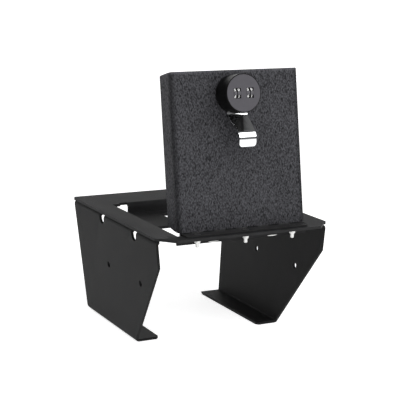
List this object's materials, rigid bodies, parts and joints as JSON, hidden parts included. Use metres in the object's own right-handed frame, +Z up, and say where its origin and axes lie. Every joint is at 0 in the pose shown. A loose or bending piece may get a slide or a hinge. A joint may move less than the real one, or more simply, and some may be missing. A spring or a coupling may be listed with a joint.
{
  "type": "console safe",
  "caption": "Console safe: bent-steel frame on two inward-leaning legs, hinged pan lid standing open, dial lock with number wheels, chrome finger pull.",
  "frame": {"origin": "on the floor under the middle of the safe's bounding box, with the lid standing open as pictured", "axes": "+Z up from the feet; -Y towards the front, where the hinge is; +X to the right seen from the front"},
  "size_m": [0.21, 0.258, 0.3082],
  "materials": {
    "frame_coat": "fine black powder coat on 3 mm steel sheet",
    "lid_coat": "coarse wrinkled black powder coat on 2.5 mm steel sheet",
    "lock_black": "satin black",
    "face_grey": "fine matte dark grey",
    "wheel_black": "black wheels with plain white numbers",
    "screw_black": "black countersunk screws",
    "zinc_steel": "bright zinc plate",
    "pull_chrome": "polished chrome plate"
  },
  "bodies": {
    "frame": {"top_plate": "frame_coat", "leg_left": "frame_coat", "leg_right": "frame_coat", "hinge_leaf_frame": "frame_coat", "hinge_pin": "zinc_steel", "hinge_screw_1": "screw_black", "hinge_screw_2": "screw_black", "hinge_screw_3": "screw_black", "hinge_nut_1": "zinc_steel", "hinge_nut_2": "zinc_steel", "hinge_nut_3": "zinc_steel"},
    "lid": {"lid_pan": "lid_coat", "hinge_leaf_lid": "frame_coat", "finger_pull": "pull_chrome", "lock_collar": "lock_black", "lock_nut": "zinc_steel"},
    "dial": {"lock_knob": "lock_black", "lock_face": "face_grey", "lock_spindle": "zinc_steel", "cam_washer": "zinc_steel", "lock_cam": "zinc_steel", "cam_screw": "zinc_steel", "wheel_axle": "zinc_steel"},
    "wheel_1": {"number_wheel_1": "wheel_black"},
    "wheel_2": {"number_wheel_2": "wheel_black"},
    "wheel_3": {"number_wheel_3": "wheel_black"},
    "wheel_4": {"number_wheel_4": "wheel_black"}
  },
  "joints": [
    {"name": "lid_hinge", "type": "hinge", "parent": "frame", "child": "lid", "pos_m": [0, -0.1057, 0.1375], "axis": [1, 0, 0], "range_deg": [-81.5, 10]},
    {"name": "lock_turn", "type": "hinge", "parent": "lid", "child": "dial", "pos_m": [-0.0052, -0.08411, 0.282], "axis": [0, -0.989, 0.1478], "range_deg": [-90, 0]},
    {"name": "wheel_1_spin", "type": "hinge", "parent": "dial", "child": "wheel_1", "pos_m": [-0.01498, -0.10636, 0.28532], "axis": [1, 0, 0], "continuous": true},
    {"name": "wheel_2_spin", "type": "hinge", "parent": "dial", "child": "wheel_2", "pos_m": [-0.01063, -0.10636, 0.28532], "axis": [1, 0, 0], "continuous": true},
    {"name": "wheel_3_spin", "type": "hinge", "parent": "dial", "child": "wheel_3", "pos_m": [0.00022, -0.10636, 0.28532], "axis": [1, 0, 0], "continuous": true},
    {"name": "wheel_4_spin", "type": "hinge", "parent": "dial", "child": "wheel_4", "pos_m": [0.00458, -0.10636, 0.28532], "axis": [1, 0, 0], "continuous": true}
  ]
}
